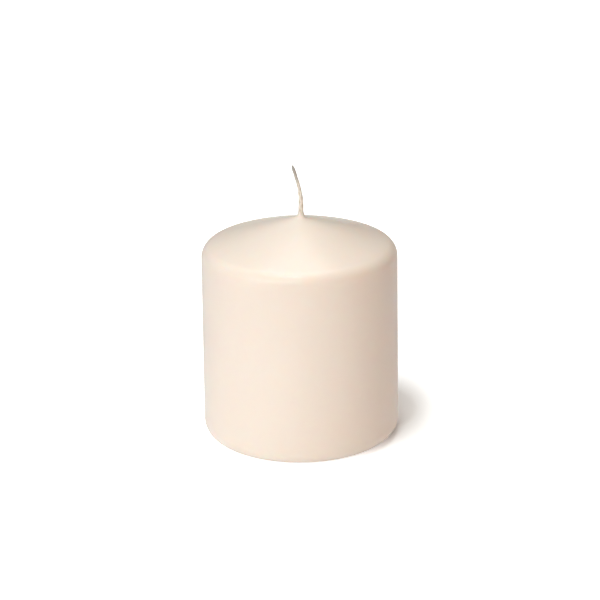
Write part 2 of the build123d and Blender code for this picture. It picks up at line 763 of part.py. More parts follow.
# Beads of hot-melt glue in the corner between the housing's floor and the wax
bead_width, bead_low, bead_hollow, bead_arc = 0.75, 0.15, 1.1, 16
bead_outer = bore_radius - 0.03
with BuildPart() as glue_beads:
    for bead_angle in (62, 182, 302):
        with BuildSketch(Plane.XZ.rotated((0, 0, bead_angle))):
            with BuildLine():
                Line((bead_outer - bead_width, base_z), (bead_outer, base_z))
                Line((bead_outer, base_z), (bead_outer, bead_low))
                RadiusArc((bead_outer, bead_low), (bead_outer - bead_width, base_z), bead_hollow)
            make_face()
        revolve(axis=Axis.Z, revolution_arc=bead_arc)
glue_beads.part.label = "glue_beads"
export_step(glue_beads.part, "parts/glue_beads.step")
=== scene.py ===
import math

import bmesh
import bpy
from mathutils import Matrix, Vector


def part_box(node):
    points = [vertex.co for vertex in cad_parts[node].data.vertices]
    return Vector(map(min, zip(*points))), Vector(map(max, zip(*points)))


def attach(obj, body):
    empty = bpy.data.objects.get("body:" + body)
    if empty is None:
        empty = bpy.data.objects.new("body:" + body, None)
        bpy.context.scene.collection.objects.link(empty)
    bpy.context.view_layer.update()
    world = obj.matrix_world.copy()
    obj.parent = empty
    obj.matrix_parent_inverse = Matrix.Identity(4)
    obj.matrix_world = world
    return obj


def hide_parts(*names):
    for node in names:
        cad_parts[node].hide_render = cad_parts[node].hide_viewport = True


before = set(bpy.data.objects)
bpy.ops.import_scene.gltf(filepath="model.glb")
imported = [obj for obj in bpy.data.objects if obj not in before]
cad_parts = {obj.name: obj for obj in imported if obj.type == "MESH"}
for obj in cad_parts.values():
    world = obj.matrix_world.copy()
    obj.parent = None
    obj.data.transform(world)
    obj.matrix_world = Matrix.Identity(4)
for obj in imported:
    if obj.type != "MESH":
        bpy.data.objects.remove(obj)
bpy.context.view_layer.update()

mm = 0.001
scene = bpy.context.scene

# camera: a long lens looking a little down on the candle's front
cameraSettings = {
    "distance": 0.910,
    "elevation": 20.77,
    "lens": 152.7,
    "footToEyeLine": 0.0350,  # height of the point that the distance is taken from
    "aimHeight": 0.04976,
    "roll": 0.75,
}


def placeCamera(settings):
    camera = bpy.data.objects.new("camera", bpy.data.cameras.new("camera"))
    scene.collection.objects.link(camera)
    tilt = math.radians(settings["elevation"])
    centre = Vector((0, 0, settings["footToEyeLine"]))
    camera.location = centre + settings["distance"] * Vector((0, -math.cos(tilt), math.sin(tilt)))
    look = Vector((0, 0, settings["aimHeight"])) - camera.location
    turn = look.to_track_quat("-Z", "Y").to_matrix().to_4x4()
    roll = Matrix.Rotation(math.radians(-settings["roll"]), 4, "Z")
    camera.matrix_world = Matrix.Translation(camera.location) @ turn @ roll
    camera.data.lens = settings["lens"]
    camera.data.sensor_width = 36
    camera.data.clip_start = 0.01
    scene.camera = camera
    return camera


placeCamera(cameraSettings)


# node helpers
def addNode(tree, kind, **values):
    node = tree.nodes.new(kind)
    for key, value in values.items():
        setattr(node, key, value)
    return node


def mathNode(tree, operation, first, second=None):
    node = addNode(tree, "ShaderNodeMath", operation=operation)
    for socket, value in zip(node.inputs, (first, second)):
        if isinstance(value, (int, float)):
            socket.default_value = value
        elif value is not None:
            tree.links.new(value, socket)
    return node.outputs[0]


# light: two big soft lamps overhead, two at the front, a small one for the shine on the
# shoulder and a weak warm fill at the right
lightSettings = {
    # white where it is seen, and it lights only from under the floor
    "world": {"seen": 0.97, "fromBelow": 0.75},
    "lamps": [
        {"name": "topLight", "place": (-0.12, 0, 1.3), "size": 1.2, "power": 6.9,
         "colour": (0.97, 0.97, 0.93)},
        {"name": "shoulderLight", "place": (-0.10, -0.50, 1.25), "size": 0.30, "power": 2.6,
         "colour": (0.72, 0.90, 1.0)},
        {"name": "topBackLight", "place": (0, 0.35, 1.2), "size": 0.8, "power": 4.9,
         "colour": (0.98, 0.94, 0.90)},
        {"name": "frontLeftLight", "place": (-0.75, -0.80, 0.45), "size": 0.6, "power": 4.6,
         "colour": (0.88, 0.86, 0.93)},
        {"name": "frontLight", "place": (-0.22, -1.08, 0.75), "size": 0.6, "power": 5.0,
         "colour": (0.96, 0.94, 0.84)},
        {"name": "warmFill", "place": (0.9, -0.25, 0.3), "size": 0.4, "power": 0.75,
         "colour": (1, 0.30, 0.06)},
    ],
    "aim": (0, 0, 0.045),
}


def lightScene(settings):
    world = bpy.data.worlds.new("studio")
    world.use_nodes = True
    tree = world.node_tree
    background = tree.nodes["Background"]
    background.inputs["Color"].default_value = (1, 1, 1, 1)
    direction = addNode(tree, "ShaderNodeTexCoord")
    height = addNode(tree, "ShaderNodeSeparateXYZ")
    tree.links.new(direction.outputs["Generated"], height.inputs[0])
    below = mathNode(tree, "MULTIPLY", mathNode(tree, "LESS_THAN", height.outputs["Z"], 0.0),
                     settings["world"]["fromBelow"])
    path = addNode(tree, "ShaderNodeLightPath")
    seen = mathNode(tree, "MULTIPLY", path.outputs["Is Camera Ray"], settings["world"]["seen"])
    tree.links.new(mathNode(tree, "MAXIMUM", below, seen), background.inputs["Strength"])
    scene.world = world
    for lamp in settings["lamps"]:
        data = bpy.data.lights.new(lamp["name"], "AREA")
        data.shape = "DISK"
        data.size = lamp["size"]
        data.energy = lamp["power"]
        data.color = lamp["colour"]
        thing = bpy.data.objects.new(lamp["name"], data)
        scene.collection.objects.link(thing)
        thing.location = lamp["place"]
        look = Vector(settings["aim"]) - thing.location
        thing.rotation_euler = look.to_track_quat("-Z", "Y").to_euler()
    scene.view_settings.view_transform = "Standard"


lightScene(lightSettings)
print("camera and light placed")


# shader helpers
def setSockets(node, values):
    for key, value in values.items():
        node.inputs[key].default_value = value


def shaderGroup(name, inputs, outputs):
    group = bpy.data.node_groups.new(name, "ShaderNodeTree")
    for label, kind, value in inputs:
        socket = group.interface.new_socket(label, in_out="INPUT", socket_type=kind)
        if value is not None:
            socket.default_value = value
    for label, kind in outputs:
        group.interface.new_socket(label, in_out="OUTPUT", socket_type=kind)
    return group, addNode(group, "NodeGroupInput"), addNode(group, "NodeGroupOutput")


def makeMottleGroup():
    # soft clouds and a finer ripple, for colour drift and very low waves
    group, source, result = shaderGroup(
        "softMottle",
        [
            ("Vector", "NodeSocketVector", None),
            ("Cloud Scale", "NodeSocketFloat", 40.0),
            ("Ripple Scale", "NodeSocketFloat", 300.0),
            ("Ripple Share", "NodeSocketFloat", 0.3),
        ],
        [("Mask", "NodeSocketFloat"), ("Height", "NodeSocketFloat")],
    )
    cloud = addNode(group, "ShaderNodeTexNoise")
    setSockets(cloud, {"Detail": 3.0, "Roughness": 0.5})
    ripple = addNode(group, "ShaderNodeTexNoise")
    setSockets(ripple, {"Detail": 2.0, "Roughness": 0.45})
    blend = addNode(group, "ShaderNodeMix", data_type="FLOAT")
    spread = addNode(group, "ShaderNodeMapRange")
    setSockets(spread, {"From Min": 0.3, "From Max": 0.7})
    for noise, scale in ((cloud, "Cloud Scale"), (ripple, "Ripple Scale")):
        group.links.new(source.outputs["Vector"], noise.inputs["Vector"])
        group.links.new(source.outputs[scale], noise.inputs["Scale"])
    group.links.new(source.outputs["Ripple Share"], blend.inputs["Factor"])
    group.links.new(cloud.outputs["Fac"], blend.inputs["A"])
    group.links.new(ripple.outputs["Fac"], blend.inputs["B"])
    group.links.new(blend.outputs["Result"], spread.inputs["Value"])
    group.links.new(spread.outputs["Result"], result.inputs["Mask"])
    group.links.new(blend.outputs["Result"], result.inputs["Height"])
    return group


def makeGrainGroup():
    # spark-eroded mould grain: small rounded cells
    group, source, result = shaderGroup(
        "mouldGrain",
        [("Vector", "NodeSocketVector", None), ("Scale", "NodeSocketFloat", 2500.0)],
        [("Height", "NodeSocketFloat")],
    )
    cells = addNode(group, "ShaderNodeTexVoronoi", feature="SMOOTH_F1")
    cells.inputs["Smoothness"].default_value = 0.8
    dust = addNode(group, "ShaderNodeTexNoise")
    setSockets(dust, {"Detail": 2.0})
    blend = addNode(group, "ShaderNodeMix", data_type="FLOAT")
    blend.inputs["Factor"].default_value = 0.4
    for texture in (cells, dust):
        group.links.new(source.outputs["Vector"], texture.inputs["Vector"])
        group.links.new(source.outputs["Scale"], texture.inputs["Scale"])
    group.links.new(cells.outputs["Distance"], blend.inputs["A"])
    group.links.new(dust.outputs["Fac"], blend.inputs["B"])
    group.links.new(blend.outputs["Result"], result.inputs["Height"])
    return group


def makeBrushGroup():
    # fine lines drawn along one axis, by stretching noise with the Stretch vector
    group, source, result = shaderGroup(
        "drawnLines",
        [
            ("Vector", "NodeSocketVector", None),
            ("Stretch", "NodeSocketVector", (1.0, 1.0, 1.0)),
            ("Scale", "NodeSocketFloat", 1500.0),
        ],
        [("Mask", "NodeSocketFloat"), ("Height", "NodeSocketFloat")],
    )
    stretch = addNode(group, "ShaderNodeVectorMath", operation="MULTIPLY")
    lines = addNode(group, "ShaderNodeTexNoise")
    setSockets(lines, {"Detail": 4.0, "Roughness": 0.6})
    group.links.new(source.outputs["Vector"], stretch.inputs[0])
    group.links.new(source.outputs["Stretch"], stretch.inputs[1])
    group.links.new(stretch.outputs["Vector"], lines.inputs["Vector"])
    group.links.new(source.outputs["Scale"], lines.inputs["Scale"])
    group.links.new(lines.outputs["Fac"], result.inputs["Mask"])
    group.links.new(lines.outputs["Fac"], result.inputs["Height"])
    return group


mottleGroup = makeMottleGroup()
grainGroup = makeGrainGroup()
brushGroup = makeBrushGroup()


def startMaterial(name, constants):
    material = bpy.data.materials.new(name)
    material.use_nodes = True
    tree = material.node_tree
    shader = tree.nodes["Principled BSDF"]
    setSockets(shader, constants)
    place = addNode(tree, "ShaderNodeTexCoord")
    return material, tree, shader, place.outputs["Object"]


def placeGroup(tree, group, vector, values):
    node = addNode(tree, "ShaderNodeGroup")
    node.node_tree = group
    tree.links.new(vector, node.inputs["Vector"])
    setSockets(node, values)
    return node


def mixColours(tree, factor, first, second):
    mix = addNode(tree, "ShaderNodeMix", data_type="RGBA")
    tree.links.new(factor, mix.inputs["Factor"])
    for socket, colour in ((mix.inputs[6], first), (mix.inputs[7], second)):
        if isinstance(colour, tuple):
            socket.default_value = (*colour, 1)
        else:
            tree.links.new(colour, socket)
    return mix.outputs[2]


def mapValue(tree, value, low, high, fromLow=0.0, fromHigh=1.0):
    node = addNode(tree, "ShaderNodeMapRange")
    setSockets(node, {"From Min": fromLow, "From Max": fromHigh, "To Min": low, "To Max": high})
    tree.links.new(value, node.inputs["Value"])
    return node.outputs["Result"]


def axisValue(tree, place, axis):
    parts = addNode(tree, "ShaderNodeSeparateXYZ")
    tree.links.new(place, parts.inputs[0])
    return parts.outputs[axis]


def addBump(tree, shader, height, strength, distance):
    bump = addNode(tree, "ShaderNodeBump")
    setSockets(bump, {"Strength": strength, "Distance": distance})
    tree.links.new(height, bump.inputs["Height"])
    tree.links.new(bump.outputs["Normal"], shader.inputs["Normal"])


# geometry node helpers
def geometryTree(name, inputs):
    tree = bpy.data.node_groups.new(name, "GeometryNodeTree")
    tree.interface.new_socket("Geometry", in_out="INPUT", socket_type="NodeSocketGeometry")
    for label, kind, value in inputs:
        socket = tree.interface.new_socket(label, in_out="INPUT", socket_type=kind)
        if value is not None:
            socket.default_value = value
    tree.interface.new_socket("Geometry", in_out="OUTPUT", socket_type="NodeSocketGeometry")
    return tree, addNode(tree, "NodeGroupInput"), addNode(tree, "NodeGroupOutput")


def vectorNode(tree, operation, first, second=None, scale=None):
    node = addNode(tree, "ShaderNodeVectorMath", operation=operation)
    for socket, value in zip(node.inputs, (first, second)):
        if isinstance(value, tuple):
            socket.default_value = value
        elif value is not None:
            tree.links.new(value, socket)
    if scale is not None:
        tree.links.new(scale, node.inputs["Scale"])
    return node.outputs[0]


def lineObject(name, points):
    # a mesh of points joined by edges, which a tree turns into a curve
    mesh = bpy.data.meshes.new(name)
    mesh.from_pydata(points, [(i, i + 1) for i in range(len(points) - 1)], [])
    thing = bpy.data.objects.new(name, mesh)
    scene.collection.objects.link(thing)
    return thing


def bakeTree(host, tree, values, name):
    # runs the tree on the host and keeps its result as a plain mesh
    modifier = host.modifiers.new("build", "NODES")
    modifier.node_group = tree
    for item in tree.interface.items_tree:
        if item.item_type == "SOCKET" and item.in_out == "INPUT" and item.name in values:
            modifier[item.identifier] = values[item.name]
    depsgraph = bpy.context.evaluated_depsgraph_get()
    mesh = bpy.data.meshes.new_from_object(host.evaluated_get(depsgraph))
    mesh.name = name
    host.modifiers.remove(modifier)
    bpy.data.objects.remove(host)
    piece = bpy.data.objects.new(name, mesh)
    scene.collection.objects.link(piece)
    closeMesh(mesh)
    print(name, len(mesh.vertices), "vertices", len(mesh.polygons), "faces")
    return piece


def closeMesh(mesh):
    shape = bmesh.new()
    shape.from_mesh(mesh)
    bmesh.ops.remove_doubles(shape, verts=shape.verts, dist=1e-6)
    bmesh.ops.recalc_face_normals(shape, faces=shape.faces)
    shape.to_mesh(mesh)
    shape.free()


# wax pillar: one section turned about the axis, hollow from below, with the collar that
# wax makes where it climbs the wick
waxShape = {
    "bodyRadius": 35.0, "shoulderRadius": 34.65, "shoulderHeight": 70.1, "height": 81.1,
    "domeBow": 0.4, "shoulderRound": 5.0, "footRound": 6.0,
    "boreRadius": 28.0, "boreDepth": 24.0, "cavityRadius": 26.5, "cavityShoulder": 60.0,
    "cavityTop": 69.5, "cavityRound": 5.0,
    "fineStep": 0.11, "fineReach": 4.0, "coarseStep": 1.0, "sideSteps": 24, "cavitySteps": 11,
    "segments": 240,
    "wobble": 0.06, "wobbleScale": 26.0, "wobbleFloor": 8.0,
    "collarHeight": 2.1, "collarCore": 0.95, "collarSpread": 0.42,
}


def bowedHeight(radius, edgeRadius, edgeHeight, top, bow):
    # height of a shallow arc from the axis to the edge that bows out by the given amount
    share = radius / edgeRadius
    return top + (edgeHeight - top) * share + 4 * bow * share * (1 - share)


def roundedLine(corners, arcSteps=14):
    # straight runs with a tangent arc in each corner that has a radius
    points = []
    for index, (x, z, radius) in enumerate(corners):
        if radius == 0:
            points.append((x, z))
            continue
        here = Vector((x, z))
        back = (Vector(corners[index - 1][:2]) - here).normalized()
        on = (Vector(corners[index + 1][:2]) - here).normalized()
        half = back.angle(on) / 2
        start = here + back * radius / math.tan(half)
        end = here + on * radius / math.tan(half)
        centre = here + (back + on).normalized() * radius / math.sin(half)
        first, last = start - centre, end - centre
        sweep = math.atan2(first.x * last.y - first.y * last.x, first.dot(last))
        for step in range(arcSteps + 1):
            angle = math.atan2(first.y, first.x) + sweep * step / arcSteps
            points.append((centre.x + radius * math.cos(angle), centre.y + radius * math.sin(angle)))
    return points


def waxSection(s):
    # from the apex over the shoulder and foot, then up inside to the top of the hollow
    corners = []
    reach = 0.0
    while reach < s["shoulderRadius"] - s["shoulderRound"]:
        height = bowedHeight(reach, s["shoulderRadius"], s["shoulderHeight"], s["height"], s["domeBow"])
        corners.append((reach, height, 0))
        reach += s["fineStep"] if reach < s["fineReach"] else s["coarseStep"]
    corners.append((s["shoulderRadius"], s["shoulderHeight"], s["shoulderRound"]))
    low, high = s["footRound"] + 1, s["shoulderHeight"] - s["shoulderRound"] - 1
    for step in range(s["sideSteps"] + 1):
        z = high + (low - high) * step / s["sideSteps"]
        drawnIn = (s["bodyRadius"] - s["shoulderRadius"]) * z / s["shoulderHeight"]
        corners.append((s["bodyRadius"] - drawnIn, z, 0))
    corners += [
        (s["bodyRadius"], 0, s["footRound"]),
        (s["boreRadius"], 0, 0),
        (s["boreRadius"], s["boreDepth"], 0),
        (s["cavityRadius"], s["boreDepth"], 0),
        (s["cavityRadius"], s["cavityShoulder"], s["cavityRound"]),
    ]
    cavityReach = s["cavityRadius"] - s["cavityRound"]
    for step in range(s["cavitySteps"] + 1):
        reach = cavityReach * (1 - step / s["cavitySteps"])
        height = bowedHeight(reach, s["cavityRadius"], s["cavityShoulder"], s["cavityTop"], s["domeBow"])
        corners.append((reach, height, 0))
    return roundedLine(corners)


spindle = 0.01  # radius of the ring that the section is swept round


def makeTurnTree():
    tree, source, result = geometryTree(
        "turnedPillar",
        [
            ("Segments", "NodeSocketInt", 240),
            ("Wobble", "NodeSocketFloat", 0.0),
            ("Wobble Scale", "NodeSocketFloat", 30.0),
            ("Wobble Floor", "NodeSocketFloat", 0.008),
            ("Seed", "NodeSocketFloat", 4.0),
            ("Collar Place", "NodeSocketVector", (0.0, 0.0, 0.0)),
            ("Collar Height", "NodeSocketFloat", 0.002),
            ("Collar Core", "NodeSocketFloat", 0.001),
            ("Collar Spread", "NodeSocketFloat", 0.0005),
            ("Collar Floor", "NodeSocketFloat", 0.075),
            ("Sharp Angle", "NodeSocketFloat", 0.6),
            ("Material", "NodeSocketMaterial", None),
        ],
    )
    given = source.outputs
    link = tree.links.new
    section = addNode(tree, "GeometryNodeMeshToCurve")
    ring = addNode(tree, "GeometryNodeCurvePrimitiveCircle")
    ring.inputs["Radius"].default_value = spindle
    sweep = addNode(tree, "GeometryNodeCurveToMesh")
    merge = addNode(tree, "GeometryNodeMergeByDistance")
    merge.inputs["Distance"].default_value = 1e-6
    link(given["Geometry"], section.inputs["Mesh"])
    link(given["Segments"], ring.inputs["Resolution"])
    link(ring.outputs["Curve"], sweep.inputs["Curve"])
    link(section.outputs["Curve"], sweep.inputs["Profile Curve"])
    link(sweep.outputs["Mesh"], merge.inputs["Geometry"])

    # slow unevenness of a cast surface, which fades out towards the foot
    place = addNode(tree, "GeometryNodeInputPosition").outputs[0]
    parts = addNode(tree, "ShaderNodeSeparateXYZ")
    link(place, parts.inputs[0])
    noise = addNode(tree, "ShaderNodeTexNoise", noise_dimensions="4D")
    noise.inputs["Detail"].default_value = 1.0
    link(given["Wobble Scale"], noise.inputs["Scale"])
    link(given["Seed"], noise.inputs["W"])
    centred = mathNode(tree, "SUBTRACT", noise.outputs["Fac"], 0.5)
    fade = addNode(tree, "ShaderNodeMapRange", interpolation_type="SMOOTHSTEP")
    link(parts.outputs["Z"], fade.inputs["Value"])
    link(given["Wobble Floor"], fade.inputs["From Max"])
    amount = mathNode(tree, "MULTIPLY", centred, given["Wobble"])
    amount = mathNode(tree, "MULTIPLY", amount, fade.outputs["Result"])
    normal = addNode(tree, "GeometryNodeInputNormal").outputs[0]
    wobble = addNode(tree, "GeometryNodeSetPosition")
    link(merge.outputs["Geometry"], wobble.inputs["Geometry"])
    link(vectorNode(tree, "SCALE", normal, scale=amount), wobble.inputs["Offset"])

    # collar of wax that climbs the wick
    away = vectorNode(tree, "SUBTRACT", place, given["Collar Place"])
    away = vectorNode(tree, "MULTIPLY", away, (1, 1, 0))
    distance = addNode(tree, "ShaderNodeVectorMath", operation="LENGTH")
    link(away, distance.inputs[0])
    past = mathNode(tree, "SUBTRACT", distance.outputs["Value"], given["Collar Core"])
    past = mathNode(tree, "MAXIMUM", past, 0.0)
    power = mathNode(tree, "MULTIPLY", mathNode(tree, "DIVIDE", past, given["Collar Spread"]), -1.0)
    climb = mathNode(tree, "MULTIPLY", mathNode(tree, "EXPONENT", power), given["Collar Height"])
    upward = addNode(tree, "ShaderNodeCombineXYZ")
    link(climb, upward.inputs["Z"])
    collar = addNode(tree, "GeometryNodeSetPosition")
    link(wobble.outputs["Geometry"], collar.inputs["Geometry"])
    onDome = mathNode(tree, "GREATER_THAN", parts.outputs["Z"], given["Collar Floor"])
    link(onDome, collar.inputs["Selection"])
    link(upward.outputs[0], collar.inputs["Offset"])

    finishTree(tree, source, result, collar.outputs["Geometry"], given["Sharp Angle"])
    return tree


def finishTree(tree, source, result, geometry, sharpAngle):
    # smooth faces with sharp edges past an angle, real geometry, one material
    link = tree.links.new
    smooth = addNode(tree, "GeometryNodeSetShadeSmooth", domain="FACE")
    edges = addNode(tree, "GeometryNodeSetShadeSmooth", domain="EDGE")
    edges.inputs["Shade Smooth"].default_value = False
    angle = addNode(tree, "GeometryNodeInputMeshEdgeAngle")
    realize = addNode(tree, "GeometryNodeRealizeInstances")
    paint = addNode(tree, "GeometryNodeSetMaterial")
    link(geometry, smooth.inputs["Geometry"])
    link(smooth.outputs["Geometry"], edges.inputs["Geometry"])
    sharp = mathNode(tree, "GREATER_THAN", angle.outputs["Unsigned Angle"], sharpAngle)
    link(sharp, edges.inputs["Selection"])
    link(edges.outputs["Geometry"], realize.inputs["Geometry"])
    link(realize.outputs["Geometry"], paint.inputs["Geometry"])
    link(source.outputs["Material"], paint.inputs["Material"])
    link(paint.outputs["Geometry"], result.inputs["Geometry"])


waxLook = {
    "colour": (0.880, 0.775, 0.680),
    "driftColour": (0.868, 0.757, 0.658),
    "constants": {
        "Subsurface Weight": 0.5,
        "Subsurface Radius": (1.0, 0.58, 0.38),
        "Subsurface Scale": 0.005,
        "Specular IOR Level": 0.3,
        "IOR": 1.44,
        "Coat Weight": 0.45,
        "Coat Roughness": 0.15,
        "Coat IOR": 1.44,
    },
    "roughness": (0.40, 0.48),
    "cloudScale": 32.0,
    "rippleScale": 260.0,
    "bumpDistance": 0.00012,
}


def makeWaxMaterial(s):
    material, tree, shader, place = startMaterial("ivoryWax", s["constants"])
    mottle = placeGroup(tree, mottleGroup, place, {
        "Cloud Scale": s["cloudScale"], "Ripple Scale": s["rippleScale"], "Ripple Share": 0.2})
    colour = mixColours(tree, mottle.outputs["Mask"], s["colour"], s["driftColour"])
    tree.links.new(colour, shader.inputs["Base Color"])
    tree.links.new(mapValue(tree, mottle.outputs["Mask"], *s["roughness"]), shader.inputs["Roughness"])
    addBump(tree, shader, mottle.outputs["Height"], 0.25, s["bumpDistance"])
    return material


waxMaterial = makeWaxMaterial(waxLook)


def makeWaxBody(s, wickX):
    # profile's x is out from the spindle ring, its y runs down the axis
    points = [(x * mm - spindle, -z * mm, 0) for x, z in waxSection(s)]
    host = lineObject("waxSection", points)
    return bakeTree(host, makeTurnTree(), {
        "Segments": s["segments"], "Wobble": s["wobble"] * mm, "Wobble Scale": s["wobbleScale"],
        "Wobble Floor": s["wobbleFloor"] * mm, "Seed": 4.0, "Collar Place": (wickX * mm, 0, 0),
        "Collar Height": s["collarHeight"] * mm, "Collar Core": s["collarCore"] * mm,
        "Collar Spread": s["collarSpread"] * mm, "Collar Floor": (s["cavityTop"] + 3) * mm,
        "Sharp Angle": 0.6, "Material": waxMaterial}, "waxBody")


# wick: plaited cotton dipped in wax, thinner and greyer towards its frayed tip
wickShape = {
    "x": 0.75, "foot": 76.0, "bendStart": 86.0, "bendRadius": 28.0, "bendAngle": 16.0, "endLength": 6.2,
    "rootRadius": 0.93, "tipRadius": 0.60, "taperStart": 8.5, "taperEnd": 17.5,
    "plaitDepth": 0.07, "plaitPitch": 3.0, "plaitStrands": 3.0, "stations": 260, "around": 48,
    "fuzz": 0.05, "fuzzScale": 1500.0, "tipDraw": 1.4, "tipShare": 0.45,
    "fibres": 16, "fibreLength": 0.75, "fibreRadius": 0.035, "fibreSpread": 0.75,
}


def wickPath(s):
    points = [(s["x"], 0, s["foot"]), (s["x"], 0, s["bendStart"])]
    turn = math.radians(s["bendAngle"])
    for step in range(1, 13):
        angle = turn * step / 12
        points.append((s["x"] - s["bendRadius"] * (1 - math.cos(angle)), 0,
                       s["bendStart"] + s["bendRadius"] * math.sin(angle)))
    x, _, z = points[-1]
    points.append((x - s["endLength"] * math.sin(turn), 0, z + s["endLength"] * math.cos(turn)))
    return [(px * mm, py * mm, pz * mm) for px, py, pz in points]


def makeWickTree():
    tree, source, result = geometryTree(
        "plaitedWick",
        [
            ("Stations", "NodeSocketInt", 200),
            ("Around", "NodeSocketInt", 48),
            ("Root Radius", "NodeSocketFloat", 0.001),
            ("Tip Radius", "NodeSocketFloat", 0.0006),
            ("Taper Start", "NodeSocketFloat", 0.008),
            ("Taper End", "NodeSocketFloat", 0.016),
            ("Tip Draw", "NodeSocketFloat", 0.001),
            ("Tip Share", "NodeSocketFloat", 0.5),
            ("Plait Depth", "NodeSocketFloat", 0.0001),
            ("Plait Pitch", "NodeSocketFloat", 0.003),
            ("Plait Strands", "NodeSocketFloat", 3.0),
            ("Fuzz", "NodeSocketFloat", 0.0001),
            ("Fuzz Scale", "NodeSocketFloat", 1500.0),
            ("Seed", "NodeSocketFloat", 7.0),
            ("Fibres", "NodeSocketInt", 12),
            ("Fibre Length", "NodeSocketFloat", 0.0008),
            ("Fibre Radius", "NodeSocketFloat", 0.00004),
            ("Fibre Spread", "NodeSocketFloat", 0.7),
            ("Tip Place", "NodeSocketVector", (0.0, 0.0, 0.0)),
            ("Tip Lean", "NodeSocketFloat", 0.0),
            ("Sharp Angle", "NodeSocketFloat", 3.0),
            ("Material", "NodeSocketMaterial", None),
        ],
    )
    given = source.outputs
    link = tree.links.new
    fullTurn = 2 * math.pi

    # tube about the path, which remembers its place along and around
    line = addNode(tree, "GeometryNodeMeshToCurve")
    resample = addNode(tree, "GeometryNodeResampleCurve")
    along = addNode(tree, "GeometryNodeSplineParameter")
    pathLength = addNode(tree, "GeometryNodeSplineLength")
    keepPath = addNode(tree, "GeometryNodeCaptureAttribute", domain="POINT")
    for kind, name in (("VECTOR", "Core"), ("FLOAT", "Along"), ("FLOAT", "Left")):
        keepPath.capture_items.new(kind, name)
    ring = addNode(tree, "GeometryNodeCurvePrimitiveCircle")
    ring.inputs["Radius"].default_value = 0.0005
    turn = addNode(tree, "GeometryNodeSplineParameter")
    keepRing = addNode(tree, "GeometryNodeCaptureAttribute", domain="POINT")
    keepRing.capture_items.new("FLOAT", "Turn")
    sweep = addNode(tree, "GeometryNodeCurveToMesh")
    sweep.inputs["Fill Caps"].default_value = True
    place = addNode(tree, "GeometryNodeInputPosition").outputs[0]
    link(given["Geometry"], line.inputs["Mesh"])
    link(line.outputs["Curve"], resample.inputs["Curve"])
    link(given["Stations"], resample.inputs["Count"])
    link(resample.outputs["Curve"], keepPath.inputs["Geometry"])
    link(place, keepPath.inputs["Core"])
    link(along.outputs["Length"], keepPath.inputs["Along"])
    left = mathNode(tree, "SUBTRACT", pathLength.outputs["Length"], along.outputs["Length"])
    link(left, keepPath.inputs["Left"])
    link(given["Around"], ring.inputs["Resolution"])
    link(ring.outputs["Curve"], keepRing.inputs["Geometry"])
    link(turn.outputs["Factor"], keepRing.inputs["Turn"])
    link(keepPath.outputs["Geometry"], sweep.inputs["Curve"])
    link(keepRing.outputs["Geometry"], sweep.inputs["Profile Curve"])

    # radius: taper, drawn-in tip, plait ridges and fuzz
    taper = addNode(tree, "ShaderNodeMapRange", interpolation_type="SMOOTHSTEP")
    link(keepPath.outputs["Along"], taper.inputs["Value"])
    for socket, name in (("From Min", "Taper Start"), ("From Max", "Taper End"),
                         ("To Min", "Root Radius"), ("To Max", "Tip Radius")):
        link(given[name], taper.inputs[socket])
    draw = addNode(tree, "ShaderNodeMapRange", interpolation_type="SMOOTHSTEP")
    link(keepPath.outputs["Left"], draw.inputs["Value"])
    link(given["Tip Draw"], draw.inputs["From Max"])
    link(given["Tip Share"], draw.inputs["To Min"])
    spin = mathNode(tree, "MULTIPLY", keepRing.outputs["Turn"], given["Plait Strands"])
    spin = mathNode(tree, "MULTIPLY", spin, fullTurn)
    climb = mathNode(tree, "DIVIDE", keepPath.outputs["Along"], given["Plait Pitch"])
    climb = mathNode(tree, "MULTIPLY", climb, fullTurn)
    ridges = mathNode(tree, "MAXIMUM", mathNode(tree, "COSINE", mathNode(tree, "ADD", spin, climb)),
                      mathNode(tree, "COSINE", mathNode(tree, "SUBTRACT", spin, climb)))
    relief = mathNode(tree, "MULTIPLY", mathNode(tree, "SUBTRACT", ridges, 1.0), 0.5)
    relief = mathNode(tree, "MULTIPLY", relief, given["Plait Depth"])
    noise = addNode(tree, "ShaderNodeTexNoise", noise_dimensions="4D")
    noise.inputs["Detail"].default_value = 2.0
    link(given["Fuzz Scale"], noise.inputs["Scale"])
    link(given["Seed"], noise.inputs["W"])
    fuzz = mathNode(tree, "SUBTRACT", noise.outputs["Fac"], 0.5)
    fuzz = mathNode(tree, "MULTIPLY", fuzz, given["Fuzz"])
    radius = mathNode(tree, "MULTIPLY", taper.outputs["Result"], draw.outputs["Result"])
    radius = mathNode(tree, "ADD", mathNode(tree, "ADD", radius, relief), fuzz)
    outward = vectorNode(tree, "SUBTRACT", place, keepPath.outputs["Core"])
    outward = vectorNode(tree, "SCALE", vectorNode(tree, "NORMALIZE", outward), scale=radius)
    shape = addNode(tree, "GeometryNodeSetPosition")
    link(sweep.outputs["Mesh"], shape.inputs["Geometry"])
    link(vectorNode(tree, "ADD", keepPath.outputs["Core"], outward), shape.inputs["Position"])
    ridgeStore = addNode(tree, "GeometryNodeStoreNamedAttribute", data_type="FLOAT", domain="POINT")
    ridgeStore.inputs["Name"].default_value = "ridge"
    link(shape.outputs["Geometry"], ridgeStore.inputs["Geometry"])
    link(ridges, ridgeStore.inputs["Value"])

